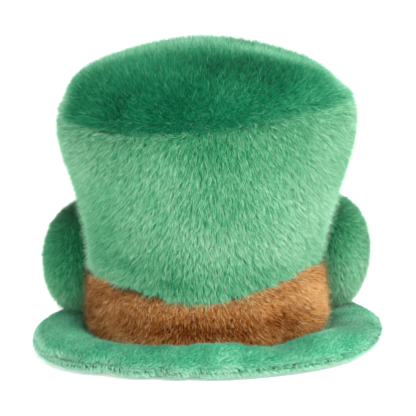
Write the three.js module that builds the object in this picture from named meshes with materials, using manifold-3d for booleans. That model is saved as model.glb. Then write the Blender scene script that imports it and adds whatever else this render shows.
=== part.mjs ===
// A small plush leprechaun hat, resting on its brim. Its crown is padded and open underneath for a head: a flared side
// panel, a domed top panel sewn on at a crease, and a brown band below. The brim is two panels sewn together at the
// edge, and a round padded puff is sewn on each flank. Millimetres, +Z up. The origin is on the surface under the
// middle of the hat, -Y is its rear and +X its right as seen from the rear.
import * as THREE from "three";
import { mergeVertices } from "three/addons/utils/BufferGeometryUtils.js";
import Module from "manifold-3d";

// Sizes of the whole hat
const wall = 8; // plush, wadding and backing together
const seamGap = 0.3; // between two panels at their seam
const crownRadius = 59.3; // at its widest, below the top seam
const waistRadius = 45.8; // where the crown meets the band
const bandRadius = 46.6;
const bandFlare = 1.4; // how much wider the band's foot is
const brimHalfWidth = 69.8;
const brimHalfDepth = 68.6;

// Heights above the surface that the hat rests on
const brimSeamHeight = 4.2;
const brimSeatHeight = 6; // where the band stands on the brim
const bandSeamHeight = 31;
const topSeamHeight = 96;
const crownHeight = 122.1; // top of the dome

// Seams, rounded edges and the brim's padding
const seamTuck = 1.6; // how far the cloth draws in at a seam
const brimSwell = 3.2; // how far the brim's upper panel puffs up beside the band
const brimEdgeRound = 5; // how far in from its edge the underside turns up
const footClearance = 0.5; // between the band's foot and the brim's padding

// The soft crown leans to the right, and its dome slopes down to that side
const crownLean = 2.4; // at the top of the dome
const domeSlope = 1.3; // lower at its right edge, and as much higher at its left
const domeFullness = 2.15; // 2 is an ellipse, and more is squarer

// Side puffs, as half sizes before the hat presses into them
const puffThick = 17; // out from the hat
const puffWide = 22; // round the hat
const puffTall = 24.3;
const puffPress = 9; // how deep the band presses into it
const puffSink = 1; // how far below the band's foot it would reach
const puffClearance = 0.3; // to the crown, band and brim that it is sewn against
const puffFullness = 2.15; // 2 is an ellipsoid, and more is squarer

// Facets
const turns = 48; // round the crown and the band
const brimTurns = 84;
const puffTurns = 28;
const puffRows = 18;

// The crown's flare from the band's seam to the top seam: the share of the widening reached at each share of height
const crownFlare = [
  { up: 0.0, out: 0.0 },
  { up: 0.1, out: 0.04 },
  { up: 0.22, out: 0.13 },
  { up: 0.36, out: 0.3 },
  { up: 0.5, out: 0.49 },
  { up: 0.64, out: 0.7 },
  { up: 0.76, out: 0.89 },
  { up: 0.87, out: 0.98 },
  { up: 0.95, out: 1.0 },
];

// The band between its foot and its seam: the share of the foot's flare that is left, and how far it bulges as a share
// of its radius
const bandShape = [
  { up: 0.0, flare: 1.0, bulge: 0.0 },
  { up: 0.25, flare: 0.45, bulge: 0.006 },
  { up: 0.55, flare: 0.15, bulge: 0.008 },
  { up: 0.85, flare: 0.0, bulge: 0.0 },
];

// The brim's upper panel, from the band's foot out to the edge seam: the share of the overhang, and the share of the
// swell. Below 0 it is the share of the fall from the band's foot to the seam.
const brimShape = [
  { out: 0.03, rise: 0.1 },
  { out: 0.14, rise: 0.7 },
  { out: 0.3, rise: 1.0 },
  { out: 0.5, rise: 1.0 },
  { out: 0.68, rise: 0.9 },
  { out: 0.82, rise: 0.68 },
  { out: 0.92, rise: 0.3 },
  { out: 0.98, rise: -0.25 },
  { out: 1.0, rise: -0.97 },
];

// Where a seam runs higher or lower than level. Bearing is in degrees round from the rear, positive to the right, and
// rise is a share of the crown's side height.
const seamWaves = [
  { seam: "band", bearing: -5, spread: 33, rise: -0.088 },
  { seam: "band", bearing: 62, spread: 14, rise: 0.035 },
  { seam: "band", bearing: 95, spread: 40, rise: 0.02 },
  { seam: "top", bearing: -25, spread: 36, rise: -0.02 },
  { seam: "top", bearing: -95, spread: 40, rise: -0.025 },
  { seam: "top", bearing: 44, spread: 34, rise: 0.05 },
  { seam: "top", bearing: 100, spread: 40, rise: 0.02 },
];

// Soft dents of the crown's and the band's wall. Up and tall are shares of the hat's height, and deep is a share of
// the wall, negative where it swells instead.
const wallDents = [
  { bearing: -28, spread: 20, up: 0.33, tall: 0.06, deep: 0.22 },
  { bearing: -40, spread: 30, up: 0.6, tall: 0.14, deep: -0.14 },
  { bearing: 8, spread: 22, up: 0.47, tall: 0.2, deep: 0.12 },
  { bearing: 48, spread: 26, up: 0.55, tall: 0.16, deep: -0.12 },
  { bearing: -18, spread: 34, up: 0.145, tall: 0.035, deep: 0.2 },
  { bearing: 44, spread: 16, up: 0.19, tall: 0.06, deep: 0.2 },
  { bearing: 130, spread: 30, up: 0.5, tall: 0.15, deep: 0.16 },
  { bearing: -150, spread: 34, up: 0.62, tall: 0.14, deep: 0.14 },
  { bearing: 178, spread: 24, up: 0.4, tall: 0.12, deep: -0.12 },
  { bearing: -90, spread: 40, up: 0.27, tall: 0.09, deep: -0.16 },
  { bearing: 92, spread: 40, up: 0.84, tall: 0.07, deep: 0.34 },
  { bearing: 92, spread: 34, up: 0.56, tall: 0.12, deep: -0.14 },
  { bearing: -92, spread: 34, up: 0.56, tall: 0.14, deep: 0.1 },
];

// Shallow hollows of the dome, placed and spread as shares of the crown's radius, and deep as a share of its rise
const domeDents = [
  { right: 0.8, front: 0.0, spread: 0.42, deep: 0.12 },
  { right: 0.42, front: 0.12, spread: 0.36, deep: 0.12 },
  { right: -0.46, front: 0.12, spread: 0.36, deep: 0.11 },
  { right: -0.3, front: -0.35, spread: 0.34, deep: 0.05 },
  { right: 0.1, front: -0.5, spread: 0.26, deep: 0.06 },
];

// Humps and hollows of the brim: rise is a share of its swell
const brimWaves = [
  { bearing: -92, spread: 34, rise: 0.2 },
  { bearing: -20, spread: 34, rise: 0.95 },
  { bearing: 7, spread: 14, rise: 0.75 },
  { bearing: 29, spread: 9, rise: -0.6 },
  { bearing: 47, spread: 15, rise: 0.75 },
  { bearing: 94, spread: 26, rise: -0.14 },
  { bearing: -35, spread: 20, rise: -0.1 },
  { bearing: 122, spread: 22, rise: -0.1 },
  { bearing: -124, spread: 20, rise: -0.4 },
  { bearing: 165, spread: 22, rise: 0.3 },
];

// Where the brim's edge comes in or goes out, with three narrow tucks: reach is a share of the overhang
const brimEdge = [
  { bearing: -54, spread: 22, reach: 0.22 },
  { bearing: -36, spread: 3.5, reach: -0.07 },
  { bearing: -17, spread: 3.5, reach: -0.08 },
  { bearing: -5, spread: 3.5, reach: -0.06 },
  { bearing: 46, spread: 24, reach: 0.17 },
  { bearing: 140, spread: 26, reach: -0.04 },
  { bearing: -135, spread: 24, reach: -0.07 },
];

// Where each puff sits round the hat, how many degrees its top tips outwards, and its size against the half sizes
const puffs = [
  { name: "puff_left", bearing: -120, tip: -2, size: 1 },
  { name: "puff_right", bearing: 119, tip: 8, size: 1.01 },
];

const headRadius = bandRadius - wall;
const sideHeight = topSeamHeight - bandSeamHeight;
const domeHeight = crownHeight - topSeamHeight;
const bandHeight = bandSeamHeight - brimSeatHeight;
const footRadius = bandRadius + bandFlare;
const seatRadius = footRadius + footClearance;
const overhang = brimHalfWidth - seatRadius;

const wasm = await Module();
wasm.setup();

const { degToRad, radToDeg, smoothstep } = THREE.MathUtils;
const at = (radius, height) => new THREE.Vector2(radius, height);
const smooth = (rows, steps) => new THREE.SplineCurve(rows).getPoints(steps);
const bell = (distance, spread) => Math.exp(-((distance / spread) ** 2));
const between = (a, b) => ((((a - b) % 360) + 540) % 360) - 180;

// The sum of one column of a table at a bearing
function sumRound(rows, bearing, column) {
  return rows.reduce((sum, row) => sum + row[column] * bell(between(bearing, row.bearing), row.spread), 0);
}

// A profile of radius and height, closed on itself and turned round +Z from the rear
function turned(profile, segments) {
  return new THREE.LatheGeometry([...profile, profile[0].clone()], segments).rotateX(Math.PI / 2);
}

// Moves each vertex by a rule that takes its radius, bearing and height
function reshape(geometry, rule) {
  const place = geometry.getAttribute("position");
  for (let i = 0; i < place.count; i++) {
    const radius = Math.hypot(place.getX(i), place.getY(i));
    const turn = Math.atan2(place.getX(i), -place.getY(i));
    const moved = rule(radius, radToDeg(turn), place.getZ(i));
    place.setXYZ(i, moved.radius * Math.sin(turn) + moved.right, -moved.radius * Math.cos(turn), moved.height);
  }
  return geometry;
}

// One soft distortion for every panel of the crown and the band, so that sewn edges stay together
function softenCrown(radius, bearing, height) {
  const inwards = Math.min(1, radius / crownRadius);
  const aboveSeat = smoothstep(height, brimSeatHeight, brimSeatHeight + 0.25 * bandHeight);
  const onDome = smoothstep(height, topSeamHeight, topSeamHeight + 0.5 * domeHeight);

  const wave = (seam) => sumRound(seamWaves.filter((row) => row.seam === seam), bearing, "rise");
  const bandRise = wave("band") * bell(height - bandSeamHeight, 0.62 * bandHeight);
  const topRise = wave("top") * bell(height - topSeamHeight, 0.4 * sideHeight) * inwards;

  const right = (radius * Math.sin(degToRad(bearing))) / crownRadius;
  const front = (-radius * Math.cos(degToRad(bearing))) / crownRadius;
  const hollow = domeDents.reduce((sum, row) => {
    return sum + row.deep * bell(Math.hypot(right - row.right, front - row.front), row.spread);
  }, 0);
  const dent = wallDents.reduce((sum, row) => {
    const round = bell(between(bearing, row.bearing), row.spread);
    return sum + row.deep * round * bell(height / crownHeight - row.up, row.tall);
  }, 0);

  return {
    radius: radius - wall * dent * aboveSeat * inwards,
    height: height + sideHeight * (bandRise + topRise) * aboveSeat - (domeHeight * hollow + domeSlope * right) * onDome,
    right: crownLean * smoothstep(height, brimSeatHeight, crownHeight),
  };
}

// The brim's waves and its uneven outline. Under the band's foot it stays as it is.
function softenBrim(radius, bearing, height) {
  const outwards = Math.max(0, (radius - seatRadius) / overhang);
  const shallower = ((brimHalfWidth - brimHalfDepth) / overhang) * Math.cos(degToRad(bearing)) ** 2;
  const reach = sumRound(brimEdge, bearing, "reach") - shallower;
  const padded = Math.min(1, Math.max(0, (height - brimSeamHeight) / (brimSeatHeight - brimSeamHeight)));
  const wave = sumRound(brimWaves, bearing, "rise") * Math.sin(Math.PI * Math.min(1, outwards));
  return {
    radius: radius + overhang * reach * outwards,
    height: height + brimSwell * wave * padded,
    right: 0,
  };
}

// Outer profiles from the bottom up, which can be grown by a clearance
function bandProfile(grow = 0) {
  const rows = bandShape.map((row) => {
    const radius = bandRadius * (1 + row.bulge) + bandFlare * row.flare;
    return at(radius + grow, brimSeatHeight + seamGap + bandHeight * row.up);
  });
  return smooth([...rows, at(waistRadius - seamTuck / 2 + grow, bandSeamHeight - seamGap / 2)], 8);
}

function sideProfile(grow = 0) {
  const widening = crownRadius - waistRadius;
  const rows = crownFlare.map((row) => {
    return at(waistRadius + widening * row.out + grow, bandSeamHeight + sideHeight * row.up);
  });
  rows[0].add(at(-seamTuck / 2, seamGap / 2));
  return smooth([...rows, at(crownRadius - seamTuck + grow, topSeamHeight - seamGap / 2)], 14);
}

// A full curve from the top seam to the axis, drawn in where it starts
function domeProfile(grow = 0) {
  const steps = 11;
  const foot = topSeamHeight + seamGap / 2;
  return Array.from({ length: steps + 1 }, (_, i) => {
    const lift = (Math.PI / 2) * (i / steps);
    const radius = i === steps ? 0 : (crownRadius + grow) * Math.cos(lift) ** (2 / domeFullness);
    const rise = (crownHeight - foot + grow) * Math.sin(lift) ** (2 / domeFullness);
    return at(i === 0 ? radius - seamTuck : radius, foot + rise);
  });
}

// Section of the brim's upper panel from the band's foot to the edge seam
function brimProfile(grow = 0) {
  const fall = brimSeatHeight - brimSeamHeight;
  const rows = brimShape.map((row) => {
    const rise = row.rise * (row.rise > 0 ? brimSwell : fall);
    return at(seatRadius + overhang * row.out, brimSeatHeight + rise + grow);
  });
  return [at(seatRadius, brimSeatHeight + grow), ...rows];
}

// The inner face of an upright wall, from the top down, with half as many rows
function innerFace(outer) {
  const kept = outer.filter((_, i) => i % 2 === 0 || i === outer.length - 1);
  return kept.map((p) => at(p.x - wall, p.y)).reverse();
}

function crownSide() {
  const outer = sideProfile();
  return reshape(turned([...outer, ...innerFace(outer)], turns), softenCrown);
}

function crownTop() {
  const outer = domeProfile();
  const foot = outer[0];
  const kept = outer.filter((_, i) => i % 2 === 0 || i === outer.length - 1);
  const thinner = (domeHeight - wall) / domeHeight;
  const inner = kept.map((p) => at(p.x * (1 - wall / foot.x), foot.y + (p.y - foot.y) * thinner)).reverse();
  return reshape(turned([...outer, ...inner], turns), softenCrown);
}

function band() {
  const outer = bandProfile();
  const inner = innerFace(outer).map((p) => at(Math.min(p.x, headRadius), p.y));
  return reshape(turned([...outer, ...inner], turns), softenCrown);
}

function brimUpper() {
  const seam = brimSeamHeight + seamGap / 2;
  const top = brimProfile();
  top.at(-1).y = seam;
  const profile = [at(headRadius, seam), ...top.reverse(), at(headRadius, brimSeatHeight)];
  return reshape(turned(profile, brimTurns), softenBrim);
}

function brimUnder() {
  const seam = brimSeamHeight - seamGap / 2;
  const steps = 4;
  const edge = Array.from({ length: steps + 1 }, (_, i) => {
    const lift = (Math.PI / 2) * (i / steps);
    return at(brimHalfWidth - brimEdgeRound * (1 - Math.sin(lift)), seam * (1 - Math.cos(lift)));
  });
  return reshape(turned([at(headRadius, 0), ...edge, at(headRadius, seam)], brimTurns), softenBrim);
}

// A closed mesh as a solid that can be cut, and back
function solidOf(geometry) {
  const bare = new THREE.BufferGeometry();
  bare.setAttribute("position", geometry.toNonIndexed().getAttribute("position"));
  const merged = mergeVertices(bare, 1e-4);
  return new wasm.Manifold(
    new wasm.Mesh({
      numProp: 3,
      vertProperties: merged.getAttribute("position").array,
      triVerts: new Uint32Array(merged.index.array),
    }),
  );
}

function geometryOf(solid) {
  const mesh = solid.getMesh();
  const geometry = new THREE.BufferGeometry();
  geometry.setAttribute("position", new THREE.BufferAttribute(new Float32Array(mesh.vertProperties), 3));
  geometry.setIndex(new THREE.BufferAttribute(new Uint32Array(mesh.triVerts), 1));
  return geometry;
}

// All that presses into a puff, filled and grown by the puff's clearance: the crown on its band, and the brim
function pressingHat() {
  const outside = [bandProfile, sideProfile, domeProfile].flatMap((profile) => profile(puffClearance));
  const crown = reshape(turned([at(0, 0), ...outside], turns), softenCrown);
  const top = brimProfile(puffClearance).reverse();
  const brim = reshape(turned([at(0, 0), at(brimHalfWidth, 0), ...top, at(0, brimSeatHeight)], brimTurns), softenBrim);
  return solidOf(crown).add(solidOf(brim));
}

// A full round ball that stands beside the band, flattened where it is sewn against the hat
function puff(row, hat) {
  const ball = new THREE.SphereGeometry(1, puffTurns, puffRows);
  const place = ball.getAttribute("position");
  const point = new THREE.Vector3();
  for (let i = 0; i < place.count; i++) {
    point.fromBufferAttribute(place, i);
    const sum = point.toArray().reduce((total, share) => total + Math.abs(share) ** puffFullness, 0);
    point.multiplyScalar(sum ** (-1 / puffFullness));
    place.setXYZ(i, point.x, point.y, point.z);
  }
  const turn = degToRad(row.bearing);
  const reach = bandRadius + puffThick - puffPress;
  ball.scale(puffWide * row.size, puffThick * row.size, puffTall * row.size);
  ball.rotateX(degToRad(row.tip)).rotateZ(turn);
  ball.translate(reach * Math.sin(turn), -reach * Math.cos(turn), brimSeatHeight + puffTall - puffSink);
  return geometryOf(solidOf(ball).subtract(hat));
}

const plush = (color, roughness) => new THREE.MeshStandardMaterial({ color, roughness, metalness: 0 });
const greenPlush = plush(0x3aa572, 0.95);
const shortPlush = plush(0x45b183, 0.9);
const brownPlush = plush(0xa4642e, 0.95);

function piece(name, geometry, material) {
  const mesh = new THREE.Mesh(geometry, material);
  mesh.name = name;
  return mesh;
}

const hat = new THREE.Group();
hat.add(piece("crown_side", crownSide(), greenPlush));
hat.add(piece("crown_top", crownTop(), greenPlush));
hat.add(piece("band", band(), brownPlush));
hat.add(piece("brim_upper", brimUpper(), shortPlush));
hat.add(piece("brim_under", brimUnder(), shortPlush));
const presser = pressingHat();
puffs.forEach((row) => hat.add(piece(row.name, puff(row, presser), greenPlush)));

// The origin is under the middle of the hat's box
const box = new THREE.Box3().setFromObject(hat);
const middle = box.getCenter(new THREE.Vector3());
hat.position.set(-middle.x, -middle.y, -box.min.z);

export default hat;
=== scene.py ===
"""A small plush leprechaun hat, seen from behind. Metres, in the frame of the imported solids: the hat stands
on z = 0, -Y is its rear and +X its right. Each padded panel is a base of wadding and backing, filled by a
cloth simulation. Its pile is a mesh of separate fibres, which stand on the base and reach about to the
solid's own surface."""

import math
from functools import partial

import bpy
import numpy as np
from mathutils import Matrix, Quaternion, Vector
from mathutils.bvhtree import BVHTree
from mathutils.kdtree import KDTree


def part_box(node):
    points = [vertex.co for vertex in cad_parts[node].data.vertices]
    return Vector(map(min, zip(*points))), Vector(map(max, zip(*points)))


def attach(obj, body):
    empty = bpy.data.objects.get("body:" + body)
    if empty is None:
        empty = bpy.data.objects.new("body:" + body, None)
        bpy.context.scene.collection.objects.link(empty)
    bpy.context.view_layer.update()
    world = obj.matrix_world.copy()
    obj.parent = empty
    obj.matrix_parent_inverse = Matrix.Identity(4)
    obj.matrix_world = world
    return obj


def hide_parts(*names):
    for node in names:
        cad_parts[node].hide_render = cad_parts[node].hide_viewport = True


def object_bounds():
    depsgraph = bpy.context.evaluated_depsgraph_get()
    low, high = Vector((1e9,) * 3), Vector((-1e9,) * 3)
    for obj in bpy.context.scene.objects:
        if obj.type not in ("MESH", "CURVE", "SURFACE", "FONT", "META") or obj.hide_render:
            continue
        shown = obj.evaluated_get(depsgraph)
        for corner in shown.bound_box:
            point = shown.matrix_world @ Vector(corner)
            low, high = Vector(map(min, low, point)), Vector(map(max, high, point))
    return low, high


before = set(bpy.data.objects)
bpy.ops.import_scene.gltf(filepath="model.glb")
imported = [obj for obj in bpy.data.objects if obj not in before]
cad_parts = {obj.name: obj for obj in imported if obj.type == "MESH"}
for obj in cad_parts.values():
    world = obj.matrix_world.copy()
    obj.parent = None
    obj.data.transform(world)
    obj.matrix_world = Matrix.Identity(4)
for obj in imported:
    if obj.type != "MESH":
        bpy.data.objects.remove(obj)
solid_low, solid_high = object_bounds()

MM = 0.001
UP = np.array([0.0, 0.0, 1.0])
HAT_HEIGHT = solid_high.z

# Camera, from the photograph: a long lens a little above the hat, rolled so that its left side sits lower
LOOK_AT = Vector((1.5, 0.0, 54.2)) * MM
CAMERA_DISTANCE = 1.2
CAMERA_RISE = math.radians(11.6)
CAMERA_ROLL = math.radians(1.5)
CAMERA_LENS = 259.6
SENSOR_WIDTH = 36.0


def add_camera():
    back = Vector((0.0, -math.cos(CAMERA_RISE), math.sin(CAMERA_RISE)))
    bpy.ops.object.camera_add(location=LOOK_AT + back * CAMERA_DISTANCE)
    camera = bpy.context.object
    camera.name = "camera"
    camera.rotation_mode = "QUATERNION"
    camera.rotation_quaternion = (-back).to_track_quat("-Z", "Y") @ Quaternion((0, 0, 1), -CAMERA_ROLL)
    camera.data.lens = CAMERA_LENS
    camera.data.sensor_width = SENSOR_WIDTH
    bpy.context.scene.camera = camera


# Colour


def linear(text):
    """An sRGB hex colour as linear RGB with full alpha."""
    shares = [int(text[i : i + 2], 16) / 255 for i in (1, 3, 5)]
    return [s / 12.92 if s <= 0.04045 else ((s + 0.055) / 1.055) ** 2.4 for s in shares] + [1.0]


def node(tree, kind, settings=None, links=None):
    """Adds a shader node. Settings are its own properties or its inputs' values, and links go into its
    inputs."""
    made = tree.nodes.new(kind)
    for name, value in (settings or {}).items():
        if name in made.inputs:
            made.inputs[name].default_value = value
        else:
            setattr(made, name, value)
    for name, source in (links or {}).items():
        tree.links.new(source, made.inputs[name])
    return made


def ramp(tree, source, stops):
    """A colour ramp through (place, hex colour) stops."""
    made = node(tree, "ShaderNodeValToRGB", links={"Fac": source})
    elements = made.color_ramp.elements
    while len(elements) < len(stops):
        elements.new(0.5)
    for element, (place, text) in zip(elements, stops):
        element.position = place
        element.color = linear(text)
    return made.outputs["Color"]


def new_material(name):
    material = bpy.data.materials.new(name)
    material.use_nodes = True
    material.node_tree.nodes.clear()
    return material, material.node_tree


def finish_material(tree, colour, settings, normal=None):
    links = {"Base Color": colour}
    if normal is not None:
        links["Normal"] = normal
    shader = node(tree, "ShaderNodeBsdfPrincipled", settings, links)
    node(tree, "ShaderNodeOutputMaterial", links={"Surface": shader.outputs["BSDF"]})


def object_place(tree):
    """Where a point lies on its own piece, in metres."""
    return node(tree, "ShaderNodeTexCoord").outputs["Object"]


# Brushed polyester plush: dyed fibres with a soft sheen. Their colour is painted paler at the tips, a painted
# highlight, and darker between the roots, painted shade
FIBRE_MAP = "OFBake"

# Each pile has one colour to each of these tones, from its darkest to its palest fibres
TONES = (0.0, 0.25, 0.5, 0.72, 1.0)
GREEN = ("#075a37", "#139058", "#4db37b", "#86cf9f", "#c4efcf")
# The dome's pile is the same green cloth, in darker colours as painted shade from its lay
PAINTED_SHADE_GREEN = ("#00452b", "#006f46", "#2b9c6b", "#7ac69d", "#c0eace")
BROWN = ("#431500", "#7c2f04", "#b46524", "#d99a4c", "#f5cf95")
SHORT_GREEN = ("#126b4a", "#238c63", "#40ae7f", "#74cca1", "#b0e6c8")
PAINTED_SHADE_ALONG_FIBRE = [(0.45, "#cdcdcd"), (0.8, "#f6f6f6"), (1.0, "#ffffff")]


def pile_material(name, colours, root_painted_shade, sheen, gloss):
    """Dyed polyester fibres, matt with a soft sheen. Light and shade are painted into their colour: a painted
    highlight makes the tip paler, and painted shade darkens the root, as its neighbours shade it. They are
    coloured by their map alone: tone runs across it, and height along the fibre runs up it."""
    material, tree = new_material(name)
    chart = node(tree, "ShaderNodeUVMap", {"uv_map": FIBRE_MAP})
    place = node(tree, "ShaderNodeSeparateXYZ", links={"Vector": chart.outputs["UV"]})
    tone = ramp(tree, place.outputs["X"], list(zip(TONES, colours)))
    # Painted shade at each fibre's root, lightening to a painted highlight at its tip
    shade = ramp(tree, place.outputs["Y"], [(0.0, root_painted_shade)] + PAINTED_SHADE_ALONG_FIBRE)
    mixed = node(tree, "ShaderNodeMix", {"data_type": "RGBA", "blend_type": "MULTIPLY", "Factor": 1.0})
    # The mix node has sockets for each kind of value, and these are its two colours and its result
    first_colour, second_colour, mixed_colour = mixed.inputs[6], mixed.inputs[7], mixed.outputs[2]
    tree.links.new(tone, first_colour)
    tree.links.new(shade, second_colour)
    soft = {"Sheen Weight": sheen, "Sheen Roughness": 0.5}
    finish_material(tree, mixed_colour, {"Roughness": 0.75, "Specular IOR Level": gloss, **soft})
    return material


# The knit's loops, so many to a metre, its courses and how far they stand up. A wave texture's bands lie
# 0.314 m over its scale apart, so these courses are about 1.1 mm from each other
GROUND_GRAINS = 900.0
BACKING_GRAINS = 600.0
COURSE_SCALE = 290.0
KNIT_RELIEF = 0.3 * MM


def ground_material(name, colour, light):
    """The knitted ground that the pile stands in, hardly seen between the fibres. Its colours are darker than
    the backing's, painted shade among the roots.
    """
    material, tree = new_material(name)
    size = {"Scale": GROUND_GRAINS, "Detail": 3.0}
    grain = node(tree, "ShaderNodeTexNoise", size, {"Vector": object_place(tree)}).outputs["Fac"]
    shade = ramp(tree, grain, [(0.3, colour), (0.7, light)])
    bump = node(tree, "ShaderNodeBump", {"Strength": 0.4, "Distance": KNIT_RELIEF}, {"Height": grain})
    finish_material(tree, shade, {"Roughness": 0.95, "Specular IOR Level": 0.1}, bump.outputs["Normal"])
    return material


def backing_material(name, colour, light):
    """The plain knitted back of the plush, in level courses."""
    material, tree = new_material(name)
    place = object_place(tree)
    size = {"Scale": COURSE_SCALE, "Distortion": 1.2, "Detail": 2.0, "Detail Scale": 4.0}
    courses = {"wave_type": "BANDS", "bands_direction": "Z", **size}
    rows = node(tree, "ShaderNodeTexWave", courses, {"Vector": place}).outputs["Fac"]
    size = {"Scale": BACKING_GRAINS, "Detail": 4.0}
    grain = node(tree, "ShaderNodeTexNoise", size, {"Vector": place}).outputs["Fac"]
    height = node(tree, "ShaderNodeMath", {"operation": "ADD"}, {0: rows, 1: grain}).outputs["Value"]
    shade = ramp(tree, height, [(0.35, colour), (1.0, light)])
    bump = node(tree, "ShaderNodeBump", {"Strength": 0.6, "Distance": KNIT_RELIEF}, {"Height": height})
    finish_material(tree, shade, {"Roughness": 0.9, "Specular IOR Level": 0.15}, bump.outputs["Normal"])
    return material


# Meshes and fields


def only(piece):
    """Makes a piece the one selected object."""
    for other in bpy.context.selected_objects:
        other.select_set(False)
    piece.select_set(True)
    bpy.context.view_layer.objects.active = piece


def points_of(piece):
    flat = np.empty(len(piece.data.vertices) * 3, np.float32)
    piece.data.vertices.foreach_get("co", flat)
    return flat.reshape(-1, 3).astype(float)


def normals_of(piece):
    flat = np.empty(len(piece.data.vertices) * 3, np.float32)
    piece.data.vertices.foreach_get("normal", flat)
    return flat.reshape(-1, 3).astype(float)


def place_points(piece, points):
    piece.data.vertices.foreach_set("co", points.astype(np.float32).ravel())
    piece.data.update()


def unit(vectors):
    return vectors / np.maximum(np.linalg.norm(vectors, axis=-1, keepdims=True), 1e-12)


def smooth_step(values, start, end):
    t = np.clip((values - start) / (end - start), 0, 1)
    return t * t * (3 - 2 * t)


def bell(distance, spread):
    return np.exp(-((distance / spread) ** 2))


def bearing_of(points):
    """Degrees round from the rear, positive to the right."""
    return np.degrees(np.arctan2(points[:, 0], -points[:, 1]))


def turn_between(a, b):
    return (a - b + 540) % 360 - 180


def wander(points, size, seed, channels=1):
    """Smooth seeded noise of about -1 to 1, whose waves are about one size long."""
    draw = np.random.default_rng(seed)
    total = np.zeros((len(points), channels))
    waves = 9
    for _ in range(waves):
        direction = unit(draw.normal(size=3)) * (2 * math.pi / (size * draw.uniform(0.7, 1.6)))
        phase = draw.uniform(0, 2 * math.pi, channels)
        total += np.sin((points @ direction)[:, None] + phase)
    return total / math.sqrt(waves / 2) / 1.6


def along_surface(vectors, normals):
    """The part of each vector that lies in the surface, as a unit vector."""
    return unit(vectors - normals * np.sum(vectors * normals, axis=1, keepdims=True))


# Padding


WELD = 0.02 * MM


def welded_copy(solid, name, cell):
    """A closed copy of a solid, with its facets redrawn as even cells."""
    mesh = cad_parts[solid].data.copy()
    mesh.materials.clear()
    piece = bpy.data.objects.new(name, mesh)
    bpy.context.scene.collection.objects.link(piece)
    only(piece)
    bpy.ops.object.mode_set(mode="EDIT")
    bpy.ops.mesh.select_all(action="SELECT")
    bpy.ops.mesh.remove_doubles(threshold=WELD)
    bpy.ops.object.mode_set(mode="OBJECT")
    cells = piece.modifiers.new("cells", "REMESH")
    cells.mode = "VOXEL"
    cells.voxel_size = cell
    bpy.ops.object.modifier_apply(modifier=cells.name)
    return piece


# Blender's cloth behaves best on things about a metre across, so a piece is simulated ten times larger. It
# starts a share of its swell below the solid. Slack is how much wider than its seams the cloth was cut
CLOTH_SCALE = 10
CLOTH_FRAMES = 16
PRESSURE = 8
SLACK = 0.03
START_BELOW = 0.6


def fill_with_wadding(piece, free, furthest):
    """Swells the free part of a panel as its wadding does, and no point further than furthest."""
    start = points_of(piece)
    place_points(piece, start * CLOTH_SCALE)
    held = piece.vertex_groups.new(name="held")
    for weight in np.arange(0.1, 1.01, 0.1):
        rows = np.where(np.abs(1 - free - weight) <= 0.05)[0]
        held.add([int(i) for i in rows], float(min(weight, 1)), "REPLACE")
    cloth = piece.modifiers.new("cloth", "CLOTH")
    cloth.settings.vertex_group_mass = held.name
    cloth.settings.use_pressure = True
    cloth.settings.uniform_pressure_force = PRESSURE
    cloth.settings.effector_weights.gravity = 0
    cloth.settings.shrink_min = -SLACK
    cloth.settings.quality = 4
    cloth.settings.tension_stiffness = 8
    cloth.settings.compression_stiffness = 8
    cloth.settings.shear_stiffness = 3
    cloth.settings.bending_stiffness = 0.2
    cloth.collision_settings.use_collision = False
    cloth.point_cache.frame_start = 1
    cloth.point_cache.frame_end = CLOTH_FRAMES
    for step in range(1, CLOTH_FRAMES + 1):
        bpy.context.scene.frame_set(step)
    only(piece)
    bpy.ops.object.modifier_apply(modifier=cloth.name)
    bpy.context.scene.frame_set(1)
    piece.vertex_groups.clear()
    moved = points_of(piece) / CLOTH_SCALE - start
    distance = np.linalg.norm(moved, axis=1, keepdims=True)
    place_points(piece, start + moved * np.minimum(1, furthest / np.maximum(distance, 1e-9)))


def padded_base(solid, name, cell, outside, inset, swell, plumped=()):
    """The wadding and backing of one panel. Outside says how far each point is on its outer face, from 0 to
    1, and inset is the room that the pile takes there. Each row of plumped names a neighbour, and says how
    far the panel is plumped up at their seam and how far from it that starts."""
    piece = welded_copy(solid, name, cell)
    share = outside(points_of(piece), normals_of(piece))
    place_points(piece, points_of(piece) - normals_of(piece) * START_BELOW * swell * share[:, None])
    fill_with_wadding(piece, share, furthest=swell)
    points, normals = points_of(piece), normals_of(piece)
    points -= normals * inset * share[:, None]
    for neighbour, swollen, reach in plumped:
        seam = nearness(points, solids_tree(neighbour), reach)
        points += unit(points * [1, 1, 0]) * (swollen * share * smooth_step(seam, 0, 0.8))[:, None]
    place_points(piece, points)
    only(piece)
    bpy.ops.object.shade_smooth()
    return piece


def finish_base(piece, solid, outer, inner, outside):
    """Gives a base its two cloths, the ground of the pile outside and the plain backing elsewhere, attaches
    it to the root body and hides the solid that it stands for."""
    piece.data.materials.append(outer)
    piece.data.materials.append(inner)
    share = outside(points_of(piece), normals_of(piece))
    for face in piece.data.polygons:
        face.material_index = int(share[list(face.vertices)].max() <= 0)
    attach(piece, "root")
    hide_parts(solid)


# Pile

# Least and most, as shares of a fibre's own length, lean or width. Stray fibres are thin and stand up more
CLUMP_LENGTHS = (0.86, 1.08)
FIBRE_LENGTHS = (0.88, 1.08)
UNEVEN_LENGTHS = (-0.4, 1.0)
STRAY_LENGTHS = (0.85, 1.8)
STRAY_LEANS = (0.2, 0.8)
STRAY_WIDTH = 0.5
FIBRE_WIDTHS = (0.8, 1.2)

# How far the leans of clumps, and of the fibres in them, differ, in radians
CLUMP_LEANS = 0.08
FIBRE_LEANS = 0.10

# How much the fibres of a clump differ from each other, as shares of what clumps do
TWIST_IN_CLUMP = 0.5
MOTTLE_IN_CLUMP = 0.6

# How much of its glint, a painted highlight added to its tone, a glinting fibre shows, and a stray one, and
# the least and most of all tones
GLINTS = (0.4, 1.0)
STRAY_GLINT = 0.6
TONE_LIMITS = (0.02, 0.98)

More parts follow.
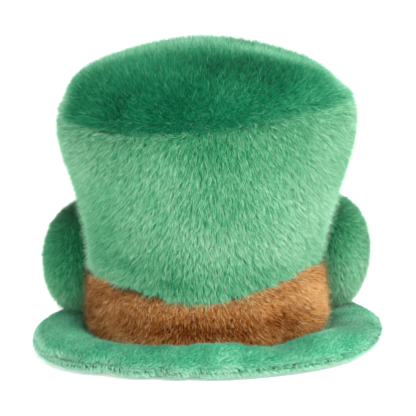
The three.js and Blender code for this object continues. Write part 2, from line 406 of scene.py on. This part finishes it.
# How a fibre is lit: mostly as the surface under it, a little as it slants, and each clump in its own way
LIT_AS_SURFACE = 0.8
LIT_AS_FIBRE = 0.3
LIT_AS_CLUMP = 0.10


def roots_on(piece, count, keep, seed):
    """Points spread evenly by area over the part of a base where keep is above 0, with their normals."""
    mesh = piece.data
    mesh.calc_loop_triangles()
    corners = np.empty(len(mesh.loop_triangles) * 3, np.int32)
    mesh.loop_triangles.foreach_get("vertices", corners)
    corners = corners.reshape(-1, 3)
    points, normals = points_of(piece), normals_of(piece)
    a, b, c = (points[corners[:, i]] for i in range(3))
    area = np.linalg.norm(np.cross(b - a, c - a), axis=1) / 2
    area *= np.clip(keep[corners].mean(axis=1), 0, 1)
    draw = np.random.default_rng(seed)
    target = (np.arange(count) + draw.uniform(size=count)) / count * area.sum()
    face = np.minimum(np.searchsorted(np.cumsum(area), target), len(area) - 1)
    u, v = draw.uniform(size=(2, count))
    u, v = np.where(u + v > 1, 1 - u, u), np.where(u + v > 1, 1 - v, v)
    shares = np.stack([1 - u - v, u, v], axis=1)[:, :, None]
    chosen = corners[face]
    return (points[chosen] * shares).sum(axis=1), unit((normals[chosen] * shares).sum(axis=1))


def clumps_of(roots, count, seed):
    """For each fibre, the number of the clump it belongs to, and each clump's middle."""
    draw = np.random.default_rng(seed)
    middles = roots[draw.choice(len(roots), count, replace=False)]
    tree = KDTree(count)
    for i, middle in enumerate(middles):
        tree.insert(Vector(middle), i)
    tree.balance()
    nearest = np.array([tree.find(Vector(root))[1] for root in roots])
    return nearest, middles


def leaves(name, points, chart, lit):
    """A mesh of loose triangles, three points to each, with their map and one lit normal to a triangle."""
    total = len(lit)
    mesh = bpy.data.meshes.new(name)
    mesh.vertices.add(total * 3)
    mesh.vertices.foreach_set("co", points.astype(np.float32).ravel())
    mesh.loops.add(total * 3)
    mesh.loops.foreach_set("vertex_index", np.arange(total * 3, dtype=np.int32))
    mesh.polygons.add(total)
    mesh.polygons.foreach_set("loop_start", np.arange(0, total * 3, 3, dtype=np.int32))
    mesh.polygons.foreach_set("loop_total", np.full(total, 3, np.int32))
    mesh.update(calc_edges=True)
    layer = mesh.uv_layers.new(name=FIBRE_MAP)
    layer.data.foreach_set("uv", chart.reshape(-1, 2).astype(np.float32).ravel())
    mesh.polygons.foreach_set("use_smooth", np.ones(total, bool))
    mesh.normals_split_custom_set_from_vertices(np.repeat(lit, 3, axis=0))
    return mesh


def pile(name, base, rule, count, keep, material, seed):
    """Fibres standing on a base, each a thin pointed leaf, gathered in clumps. The rule gives the pile's lay,
    length and tone at each root."""
    roots, normals = roots_on(base, count, keep, seed)
    draw = np.random.default_rng(seed + 1)
    facts = rule(roots, normals)
    kept = facts.get("kept", np.ones(len(roots), bool))
    roots = roots[kept]
    facts = {key: value[kept] if isinstance(value, np.ndarray) else value for key, value in facts.items()}
    normals = facts.get("stand", normals[kept])
    total = len(roots)

    clump, middles = clumps_of(roots, int(total / facts["clump"]), seed + 2)
    members = len(middles)
    twist = facts["unruly"] * (draw.normal(0, 1, members)[clump] + draw.normal(0, TWIST_IN_CLUMP, total))
    side = np.cross(normals, facts["lay"])
    lay = unit(facts["lay"] * np.cos(twist)[:, None] + side * np.sin(twist)[:, None])

    lean = np.radians(facts["lean"])
    lean = lean + draw.normal(0, CLUMP_LEANS, members)[clump] + draw.normal(0, FIBRE_LEANS, total)
    stray = draw.uniform(size=total) < facts["stray"]
    lean = np.where(stray, lean * draw.uniform(*STRAY_LEANS, total), lean)
    length = facts["length"] * draw.uniform(*CLUMP_LENGTHS, members)[clump]
    length = length * draw.uniform(*FIBRE_LENGTHS, total)
    length = np.where(stray, length * draw.uniform(*STRAY_LENGTHS, total), length)
    length *= 1 + facts.get("uneven", 0) * draw.uniform(*UNEVEN_LENGTHS, total)
    along = normals * np.cos(lean)[:, None] + lay * np.sin(lean)[:, None]
    tip = roots + along * length[:, None]

    # The fibres of a clump close up towards its middle at their tips
    off = middles[clump] - roots
    off -= normals * np.sum(off * normals, axis=1, keepdims=True)
    tip += off * np.reshape(facts["gather"], (-1, 1))
    if "floor" in facts:
        tip[:, 2] = np.maximum(tip[:, 2], facts["floor"])

    width = facts["width"] * draw.uniform(*FIBRE_WIDTHS, total) * np.where(stray, STRAY_WIDTH, 1.0)
    across = unit(np.cross(normals, along)) * (0.5 * width)[:, None]
    points = np.stack([roots + across, roots - across, tip], axis=1).reshape(-1, 3)

    tone = facts["tone"] + draw.normal(0, facts["mottle"], members)[clump]
    tone += draw.normal(0, MOTTLE_IN_CLUMP * facts["mottle"], total)
    # Glinting fibres, and stray ones more, are painted paler: painted highlights
    tone += facts["glint"] * draw.uniform(*GLINTS, total) * (draw.uniform(size=total) < facts["glinting"])
    tone = np.clip(tone + STRAY_GLINT * facts["glint"] * stray, *TONE_LIMITS)
    chart = np.zeros((total, 3, 2))
    chart[:, :, 0] = tone[:, None] + np.array([-0.01, 0.01, 0.0])
    chart[:, :, 1] = [0.02, 0.02, 0.98]

    own = unit(np.cross(along, np.cross(normals, along)))
    lit = normals * LIT_AS_SURFACE + own * LIT_AS_FIBRE
    lit = unit(lit + draw.normal(0, LIT_AS_CLUMP, (members, 3))[clump])

    piece = bpy.data.objects.new(name, leaves(name, points, chart, lit))
    piece.data.materials.append(material)
    bpy.context.scene.collection.objects.link(piece)
    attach(piece, "root")


def solids_tree(*names):
    """A search tree over the surfaces of some solids."""
    points, faces = [], []
    for name in names:
        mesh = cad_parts[name].data
        start = len(points)
        points += [v.co.copy() for v in mesh.vertices]
        faces += [[start + i for i in polygon.vertices] for polygon in mesh.polygons]
    return BVHTree.FromPolygons(points, faces)


def nearness(roots, tree, reach):
    """How near each root is to some other solids, from 1 at them to 0 at a reach away."""
    hits = [tree.find_nearest(Vector(root), reach)[3] for root in roots]
    return 1 - np.array([reach if hit is None else hit for hit in hits]) / reach


def clear_of(roots, tree, distance):
    """Which roots are at least a distance away from some solids."""
    return np.array([tree.find_nearest(Vector(root), distance)[0] is None for root in roots])


# Crown


LONG_PILE = 3.0 * MM
LONG_INSET = 1.3 * MM
SHORT_PILE = 1.6 * MM
SHORT_INSET = 0.8 * MM
SWELL = 1.0 * MM

# How far from a seam its pile begins to stand differently
TOP_SEAM_REACH = 5.5 * MM
BAND_SEAM_REACH = 4 * MM
BRIM_SEAM_REACH = 2.5 * MM


def away_from_axis(points, normals):
    out = unit(points * [1, 1, 0])
    return smooth_step(np.sum(normals * out, axis=1), 0.15, 0.75)


def into_seams(points, normals):
    """As far as the pile grows on an upright wall, which is round its edges."""
    return smooth_step(np.sum(normals * unit(points * [1, 1, 0]), axis=1), -0.4, 0.2)


def out_of_hollow(points, normals):
    """How far each normal points away from the middle of the hat's hollow."""
    return np.sum(normals * unit(points - np.array([0, 0, 0.5 * HAT_HEIGHT])), axis=1)


def away_from_hollow(points, normals):
    return smooth_step(out_of_hollow(points, normals), 0.1, 0.6)


# Painted light and shade on the crown's side, by degrees round from the rear and millimetres up: patches of
# nap painted lighter or darker as they catch the light, and painted shade in the wrinkles near the band
SIDE_PAINTED_PATCHES = [
    {"bearing": -52, "spread": 26, "up": 82, "tall": 13, "tone": 0.07},
    {"bearing": 2, "spread": 30, "up": 88, "tall": 12, "tone": -0.14},
    {"bearing": 50, "spread": 20, "up": 60, "tall": 20, "tone": 0.14},
    {"bearing": -10, "spread": 22, "up": 52, "tall": 14, "tone": 0.05},
    {"bearing": -58, "spread": 18, "up": 46, "tall": 12, "tone": -0.14},
    {"bearing": -40, "spread": 9, "up": 40, "tall": 3.5, "tone": -0.16},
    {"bearing": -16, "spread": 9, "up": 34, "tall": 2.5, "tone": -0.20},
    {"bearing": 32, "spread": 16, "up": 37, "tall": 4, "tone": -0.14},
    {"bearing": 8, "spread": 16, "up": 66, "tall": 12, "tone": -0.06},
    {"bearing": 42, "spread": 44, "up": 48, "tall": 16, "tone": 0.06},
    {"bearing": 84, "spread": 22, "up": 94, "tall": 9, "tone": 0.10},
]


def patch(row, bearing, level, centre, size):
    """One patch of painted light or shade from a table. Centre and size name the columns for where it lies
    across the nap.
    """
    return (
        row["tone"]
        * bell(turn_between(bearing, row["bearing"]), row["spread"])
        * bell(level / MM - row[centre], row[size])
    )


def painted_patches(rows, bearing, height):
    return sum(patch(row, bearing, height, "up", "tall") for row in rows)


def round_about(points):
    """The level direction round the hat, towards larger bearings."""
    angle = np.radians(bearing_of(points))
    return np.stack([np.cos(angle), np.sin(angle), np.zeros(len(points))], axis=1)


def fluffed_at(roots, normals, tree, reach):
    """How near each root is to the seam with another panel, and the way that its fibre stands there: more
    straight out, so that the two piles close over the seam."""
    seam = nearness(roots, tree, reach)[:, None]
    return seam[:, 0], unit(normals * (1 - seam) + unit(roots * [1, 1, 0]) * seam)


def side_rule(roots, normals, top_tree, band_tree):
    bearing = bearing_of(roots)
    fan = 0.45 * np.sin(np.radians(bearing)) + 0.25 * wander(roots, 45 * MM, 11)[:, 0]
    # Its tone: the painted patches, random mottling, a little paler near the band and darker at the dome's
    # seam
    tone = 0.48 + painted_patches(SIDE_PAINTED_PATCHES, bearing, roots[:, 2]) + 0.05 * wander(roots, 30 * MM, 12)[:, 0]
    seam, stand = fluffed_at(roots, normals, top_tree, TOP_SEAM_REACH)
    risen = 1.5 * smooth_step(seam, 0.45, 1.0) - 1
    lay = along_surface(UP * risen[:, None] + round_about(roots) * fan[:, None], normals)
    foot = nearness(roots, band_tree, BAND_SEAM_REACH)
    return {
        "lay": lay, "stand": stand, "lean": 54 - 4 * seam - 12 * foot,
        "unruly": 0.3 + 0.2 * foot + 0.6 * seam, "uneven": 0.5 * foot + 0.2 * seam,
        "length": LONG_PILE * (1 + 0.15 * foot - 0.15 * seam), "width": 0.27 * MM, "clump": 5,
        "gather": 0.4 - 0.3 * foot - 0.25 * seam, "stray": 0.28 + 0.22 * foot,
        "tone": tone + 0.08 * foot - 0.04 * seam, "mottle": 0.08, "glint": 0.36, "glinting": 0.18,
    }


# The dome's rim in plan
TOP_MIDDLE = 2 * MM
TOP_RADIUS = 59 * MM


def top_rule(roots, normals, side_tree):
    seam, stand = fluffed_at(roots, normals, side_tree, TOP_SEAM_REACH)
    nap = np.array([0.25, 1.0, 0.0]) + 0.4 * wander(roots, 40 * MM, 21, 3) + unit(roots * [1, 0, 0]) * 0.4
    nap += (unit(roots * [1, 1, 0]) * 1.4 - UP * 2.0) * smooth_step(seam, 0.15, 0.8)[:, None]
    lay = along_surface(nap, normals)
    # Light and shade are painted into the dome's tone: paler at its rim and flanks, a painted sheen, paler
    # towards its far side where it is seen against the light and to the right where it is lit, a little paler
    # at the seam, and more painted glints on its far left
    rim = smooth_step(np.hypot(roots[:, 0] - TOP_MIDDLE, roots[:, 1]) / TOP_RADIUS, 0.9, 1.0)
    right_flank = smooth_step(roots[:, 0], 42 * MM, 56 * MM)
    left_flank = smooth_step(-roots[:, 0], 47 * MM, 57 * MM)
    ridge = smooth_step(roots[:, 1], -30 * MM, 4 * MM)
    rightwards = smooth_step(roots[:, 0], 16 * MM, 46 * MM)
    backlit_glints = ridge * (1 - rightwards)
    tone = 0.20 + 0.25 * ridge + 0.08 * rightwards + 0.06 * wander(roots, 26 * MM, 22)[:, 0]
    tone += 0.14 * right_flank + 0.32 * left_flank + 0.05 * rim + 0.06 * seam
    return {
        "lay": lay, "stand": stand, "lean": 56 - 6 * seam, "unruly": 0.8,
        "length": LONG_PILE * (0.85 + 0.2 * seam), "uneven": 0.4 * seam,
        "width": 0.27 * MM, "clump": 4, "gather": 0.35 - 0.2 * seam, "stray": 0.26,
        "tone": tone, "mottle": 0.07, "glint": 0.26, "glinting": 0.12 + 0.15 * ridge + 0.25 * backlit_glints,
    }


# Painted light and shade on the band, by degrees round from the rear and millimetres up: a darker stripe low
# in the middle as painted shade, painted highlights above it and on the right, and darker on the left
BAND_PAINTED_PATCHES = [
    {"bearing": -14, "spread": 28, "up": 17, "tall": 3.5, "tone": -0.28},
    {"bearing": 10, "spread": 30, "up": 14, "tall": 3.5, "tone": -0.24},
    {"bearing": 36, "spread": 12, "up": 18, "tall": 4, "tone": -0.24},
    {"bearing": 58, "spread": 20, "up": 26, "tall": 8, "tone": 0.14},
    {"bearing": 8, "spread": 34, "up": 24.5, "tall": 3, "tone": 0.12},
    {"bearing": -40, "spread": 16, "up": 26, "tall": 4, "tone": 0.06},
    {"bearing": -66, "spread": 18, "up": 16, "tall": 12, "tone": -0.12},
]


def band_rule(roots, normals, side_tree):
    bearing = bearing_of(roots)
    turn = 0.5 * wander(roots, 30 * MM, 31)[:, 0] + 0.4
    lay = along_surface(-UP + round_about(roots) * turn[:, None], normals)
    tone = 0.42 + painted_patches(BAND_PAINTED_PATCHES, bearing, roots[:, 2]) + 0.06 * wander(roots, 18 * MM, 32)[:, 0]
    seam, stand = fluffed_at(roots, normals, side_tree, BAND_SEAM_REACH)
    return {
        "lay": lay, "stand": stand, "lean": 54 - 12 * seam, "unruly": 0.4, "length": LONG_PILE,
        "width": 0.24 * MM, "clump": 5, "gather": 0.4, "stray": 0.2,
        "tone": tone, "mottle": 0.12, "glint": 0.52, "glinting": 0.24,
    }


# No pile grows where a puff is pressed to the hat
PUFF_CLEARANCE = 1.2 * MM


def puff_rule(roots, normals, middle, painted_light, hat_tree):
    out = unit((roots - middle) * [1, 1, 0.4])
    lay = along_surface(-UP + out * 0.4 + [0, 0.3, 0] + 0.2 * wander(roots, 20 * MM, 41, 3), normals)
    # Painted light and shade in the puff's tone: painted shade keeps it darker high up and on its inner side,
    # and it is paler low down and at its outer edge
    low = 1 - smooth_step(roots[:, 2], 14 * MM, 38 * MM)
    edge = smooth_step(np.abs(roots[:, 0]), 55 * MM, 66 * MM)
    tone = 0.17 + painted_light + 0.30 * low + 0.18 * edge + 0.05 * wander(roots, 18 * MM, 42)[:, 0]
    return {
        "kept": clear_of(roots, hat_tree, PUFF_CLEARANCE), "lay": lay, "lean": 52, "unruly": 0.3,
        "length": LONG_PILE * 1.05, "width": 0.29 * MM, "clump": 6, "gather": 0.4, "stray": 0.25,
        "tone": tone, "mottle": 0.06, "glint": 0.28, "glinting": 0.10,
    }


# Short pile stands in knitted rows, and the brim's two panels are sewn together with small even stitches
ROW_PITCH = 0.9 * MM
STITCH_PITCH = 2.2 * MM
BRIM_RADIUS = 70 * MM
BRIM_TUCKS = (-36, -17, -5)
# Painted light and shade on the brim, by degrees round from the rear and millimetres out: patches of nap
# painted lighter or darker as they catch the light, a painted highlight on the right, the right end painted
# lighter where it is lit, and painted shade beside the band on the left
BRIM_PAINTED_PATCHES = [
    {"bearing": 56, "spread": 9, "out": 56, "wide": 3.5, "tone": 0.34},
    {"bearing": 92, "spread": 26, "out": 62, "wide": 10, "tone": 0.12},
    {"bearing": -22, "spread": 26, "out": 58, "wide": 5, "tone": -0.10},
    {"bearing": 34, "spread": 14, "out": 62, "wide": 6, "tone": -0.06},
    {"bearing": -86, "spread": 24, "out": 56, "wide": 5, "tone": -0.10},
    {"bearing": 4, "spread": 8, "out": 60, "wide": 8, "tone": 0.06},
]


def brim_rule(roots, normals, other_tree):
    seam = nearness(roots, other_tree, BRIM_SEAM_REACH)
    nap = np.array([0.8, 0.7, 0.0]) + 0.4 * wander(roots, 40 * MM, 51, 3) - UP * 2 * seam[:, None]
    lay = along_surface(nap, normals)
    bearing, out = bearing_of(roots), np.hypot(roots[:, 0], roots[:, 1])
    rows = np.cos(2 * math.pi * (roots[:, 0] + 0.4 * MM * wander(roots, 9 * MM, 53)[:, 0]) / ROW_PITCH)
    patches = sum(patch(row, bearing, out, "out", "wide") for row in BRIM_PAINTED_PATCHES)
    # Along the sewn seam the pile is painted darker, as shade in its valley, and lighter and darker by turns
    # at the stitches
    sewn = smooth_step(seam, 0.4, 0.8) * smooth_step(bearing, 8, 26)
    stitches = np.cos(np.radians(bearing) * 2 * math.pi * BRIM_RADIUS / STITCH_PITCH)
    # The lower roll is painted much paler: painted light, as lit from below by the table
    roll = smooth_step(out, 60 * MM, 66 * MM) * (1 - smooth_step(roots[:, 2], 2.5 * MM, 7.5 * MM))
    # The tucks are painted darker at their crease: painted shade
    crease_shade = sum(bell(turn_between(bearing, tuck), 1.4) for tuck in BRIM_TUCKS)
    crease_shade *= smooth_step(out, 58 * MM, 64 * MM) * (1 - smooth_step(roots[:, 2], 3 * MM, 6 * MM))
    # The seam's unstitched left is painted a little paler: painted light against the shade in its crevice
    unstitched = 1 - smooth_step(bearing, 0, 20)
    tone = 0.47 + patches + 0.05 * rows + 0.08 * wander(roots, 16 * MM, 52)[:, 0]
    tone += 0.60 * roll - 0.3 * crease_shade + 0.10 * seam * unstitched + sewn * (0.16 * stitches - 0.12)
    return {
        "lay": lay, "lean": 64, "unruly": 0.3, "floor": 0.05 * MM,
        "length": SHORT_PILE * (1 + 0.35 * seam), "width": 0.30 * MM, "clump": 5, "gather": 0.4,
        "stray": 0.05, "tone": tone, "mottle": 0.08, "glint": 0.28, "glinting": 0.15,
    }


TUCK_IN = 0.8 * MM
TUCK_UP = 1.1 * MM


def tucked(points):
    """The brim's edge drawn in and up where it was caught in its seam."""
    out = np.hypot(points[:, 0], points[:, 1])
    share = sum(bell(turn_between(bearing_of(points), tuck), 2.4) for tuck in BRIM_TUCKS)
    share *= smooth_step(out, 60 * MM, 68 * MM) * (1 - smooth_step(points[:, 2], 3 * MM, 6 * MM))
    return points + (UP * TUCK_UP - unit(points * [1, 1, 0]) * TUCK_IN) * share[:, None]


def all_over(points, normals):
    return np.ones(len(points))


def upper_side(points, normals):
    out = unit(points * [1, 1, 0])
    return smooth_step(normals[:, 2] + 0.6 * np.sum(normals * out, axis=1), 0.1, 0.5)


def under_side(points, normals):
    out = unit(points * [1, 1, 0])
    return smooth_step(-normals[:, 2] + 0.9 * np.sum(normals * out, axis=1), 0.1, 0.5)


def make_cloths():
    """The ground, the backing and the pile of each plush."""
    return {
        "green_ground": ground_material("green_knitted_ground", "#1b6d48", "#2a8a5c"),
        "brown_ground": ground_material("brown_knitted_ground", "#5a2b10", "#7d4820"),
        "green_back": backing_material("green_knitted_backing", "#2f7f5b", "#4fa47c"),
        "brown_back": backing_material("brown_knitted_backing", "#7a4c27", "#96653a"),
        "green": pile_material("green_plush_pile", GREEN, "#8c8c8c", 0.15, 0.15),
        # The dome's pile: a darker copy of the green pile, painted shade
        "darker": pile_material("green_plush_top_pile", PAINTED_SHADE_GREEN, "#8c8c8c", 0.04, 0.05),
        "brown": pile_material("brown_plush_pile", BROWN, "#747474", 0.02, 0.04),
        "short": pile_material("short_green_plush_pile", SHORT_GREEN, "#aaaaaa", 0.12, 0.15),
    }


# How far each pair of panels is plumped up at their seam, and how far from it that starts
TOP_SEAM = (2.2 * MM, 5 * MM)
BAND_SEAM = (0.8 * MM, 4 * MM)
BRIM_SEAM = (0.7 * MM, 2.5 * MM)

# What makes each panel: the cells of its base, its fibres, the seed of their places, and how full it is
SIDE_MAKE = {"cell": 1.9 * MM, "fibres": 195000, "seed": 101, "fill": 0.6}
TOP_MAKE = {"cell": 2.4 * MM, "fibres": 165000, "seed": 102, "fill": 0.6}
BAND_MAKE = {"cell": 1.8 * MM, "fibres": 140000, "seed": 103, "fill": 0.6}
UPPER_MAKE = {"cell": 1.3 * MM, "fibres": 170000, "seed": 104, "fill": 0.6}
UNDER_MAKE = {"cell": 1.15 * MM, "fibres": 80000, "seed": 105, "fill": 0.4}
# A puff's painted light lifts its whole tone: the right puff, which is lit more, is painted lighter
PUFF_MAKES = {
    "puff_left": {"cell": 2.0 * MM, "fibres": 50000, "seed": 106, "fill": 0.8, "painted_light": 0.0},
    "puff_right": {"cell": 2.0 * MM, "fibres": 50000, "seed": 107, "fill": 0.8, "painted_light": 0.20},
}

# The dome's pile lies flatter than the side's, so its base is a little further in
TOP_FURTHER_IN = 0.3 * MM

# The band hides the inner part of the brim's upper panel, and its pile starts under the band's foot
UPPER_PILE_STARTS = (45 * MM, 47 * MM)


def make_crown_side(cloths):
    make, plumped = SIDE_MAKE, [("crown_top", *TOP_SEAM), ("band", *BAND_SEAM)]
    base = padded_base(
        "crown_side", "crown_side_panel", make["cell"], away_from_axis, LONG_INSET, SWELL, plumped
    )
    ground, back = cloths["green_ground"], cloths["green_back"]
    finish_base(base, "crown_side", ground, back, away_from_axis)
    keep = into_seams(points_of(base), normals_of(base))
    rule = partial(side_rule, top_tree=solids_tree("crown_top"), band_tree=solids_tree("band"))
    pile("crown_side_pile", base, rule, make["fibres"], keep, cloths["green"], make["seed"])


def make_crown_top(cloths):
    make, inset, plumped = TOP_MAKE, LONG_INSET + TOP_FURTHER_IN, [("crown_side", *TOP_SEAM)]
    base = padded_base(
        "crown_top", "crown_top_panel", make["cell"], away_from_hollow, inset, SWELL, plumped
    )
    ground, back = cloths["green_ground"], cloths["green_back"]
    finish_base(base, "crown_top", ground, back, away_from_hollow)
    keep = smooth_step(out_of_hollow(points_of(base), normals_of(base)), -0.45, 0.1)
    rule = partial(top_rule, side_tree=solids_tree("crown_side"))
    pile("crown_top_pile", base, rule, make["fibres"], keep, cloths["darker"], make["seed"])


def make_band(cloths):
    make, plumped = BAND_MAKE, [("crown_side", *BAND_SEAM)]
    base = padded_base("band", "band_panel", make["cell"], away_from_axis, LONG_INSET, SWELL, plumped)
    ground, back = cloths["brown_ground"], cloths["brown_back"]
    finish_base(base, "band", ground, back, away_from_axis)
    keep = into_seams(points_of(base), normals_of(base))
    rule = partial(band_rule, side_tree=solids_tree("crown_side"))
    pile("band_pile", base, rule, make["fibres"], keep, cloths["brown"], make["seed"])


def make_brim_upper(cloths):
    make, slot, plumped = UPPER_MAKE, "short_green_plush", [("brim_under", *BRIM_SEAM)]
    base = padded_base(
        "brim_upper", "brim_upper_panel", make["cell"], upper_side, SHORT_INSET, 0.5 * SWELL, plumped
    )
    place_points(base, tucked(points_of(base)))
    ground, back = cloths["green_ground"], cloths["green_back"]
    finish_base(base, "brim_upper", ground, back, upper_side)
    points = points_of(base)
    out = np.hypot(points[:, 0], points[:, 1])
    keep = upper_side(points, normals_of(base)) * smooth_step(out, *UPPER_PILE_STARTS)
    rule = partial(brim_rule, other_tree=solids_tree("brim_under"))
    pile("brim_upper_pile", base, rule, make["fibres"], keep, cloths["short"], make["seed"])


def make_brim_under(cloths):
    make, slot, plumped = UNDER_MAKE, "short_green_plush", [("brim_upper", *BRIM_SEAM)]
    base = padded_base(
        "brim_under", "brim_under_panel", make["cell"], under_side, SHORT_INSET, 0.0, plumped
    )
    place_points(base, tucked(points_of(base)))
    ground, back = cloths["green_ground"], cloths["green_back"]
    finish_base(base, "brim_under", ground, back, under_side)
    keep = under_side(points_of(base), normals_of(base))
    rule = partial(brim_rule, other_tree=solids_tree("brim_upper"))
    pile("brim_under_pile", base, rule, make["fibres"], keep, cloths["short"], make["seed"])


def make_puff(solid, cloths, hat_tree):
    make = PUFF_MAKES[solid]
    low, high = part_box(solid)
    middle = np.array((low + high) / 2)
    base = padded_base(solid, solid + "_panel", make["cell"], all_over, LONG_INSET, SWELL)
    ground, back = cloths["green_ground"], cloths["green_back"]
    finish_base(base, solid, ground, back, all_over)
    keep = np.ones(len(base.data.vertices))
    rule = partial(puff_rule, middle=middle, painted_light=make["painted_light"], hat_tree=hat_tree)
    pile(solid + "_pile", base, rule, make["fibres"], keep, cloths["green"], make["seed"])


def make_hat():
    cloths = make_cloths()
    make_crown_side(cloths)
    make_crown_top(cloths)
    make_band(cloths)
    make_brim_upper(cloths)
    make_brim_under(cloths)
    hat_tree = solids_tree("crown_side", "band", "brim_upper")
    for solid in PUFF_MAKES:
        make_puff(solid, cloths, hat_tree)


# Studio

# Each light is a square that faces the hat. Place and size are metres, and power is watts
LIGHTS = [
    {"name": "key_light", "place": (0.6, -0.95, 1.0), "size": 0.6, "power": 17.5, "colour": "#ffffff"},
    {"name": "fill_light", "place": (-0.9, -0.8, 0.6), "size": 0.8, "power": 4.0, "colour": "#f6fbff"},
    {"name": "right_light", "place": (1.1, -0.25, 0.4), "size": 0.6, "power": 2.6, "colour": "#ffffff"},
    {"name": "low_front_light", "place": (0.1, -1.3, 0.12), "size": 0.5, "power": 3.0, "colour": "#ffffff"},
]
TABLE_SIZE = 6.0
TABLE_GLOW = 0.4
TABLE_GRAINS = 40.0
ROOM_LIGHT = 1.0


def add_light(row):
    bpy.ops.object.light_add(type="AREA", location=row["place"])
    light = bpy.context.object
    light.name = row["name"]
    light.rotation_mode = "QUATERNION"
    light.rotation_quaternion = (LOOK_AT - Vector(row["place"])).to_track_quat("-Z", "Y")
    light.data.size = row["size"]
    light.data.energy = row["power"]
    light.data.color = linear(row["colour"])[:3]


def table_material():
    """A white table lit from within, as for product pictures: the background stays white, and the hat's
    lower roll is lit from below."""
    material, tree = new_material("white_light_table")
    place = object_place(tree)
    grain = node(tree, "ShaderNodeTexNoise", {"Scale": TABLE_GRAINS}, {"Vector": place})
    shade = ramp(tree, grain.outputs["Fac"], [(0.0, "#f4f4f4"), (1.0, "#fbfbfb")])
    glow = {"Emission Color": linear("#ffffff"), "Emission Strength": TABLE_GLOW}
    finish_material(tree, shade, {"Roughness": 0.9, **glow})
    return material


def make_studio():
    bpy.ops.mesh.primitive_plane_add(size=TABLE_SIZE)
    floor = bpy.context.object
    floor.name = "studio_floor"
    floor.data.materials.append(table_material())

    for row in LIGHTS:
        add_light(row)
    world = bpy.data.worlds.new("white_studio")
    world.use_nodes = True
    background = world.node_tree.nodes["Background"]
    background.inputs["Color"].default_value = linear("#ffffff")
    background.inputs["Strength"].default_value = ROOM_LIGHT
    bpy.context.scene.world = world
    bpy.context.scene.view_settings.view_transform = "Standard"


add_camera()
make_studio()
make_hat()
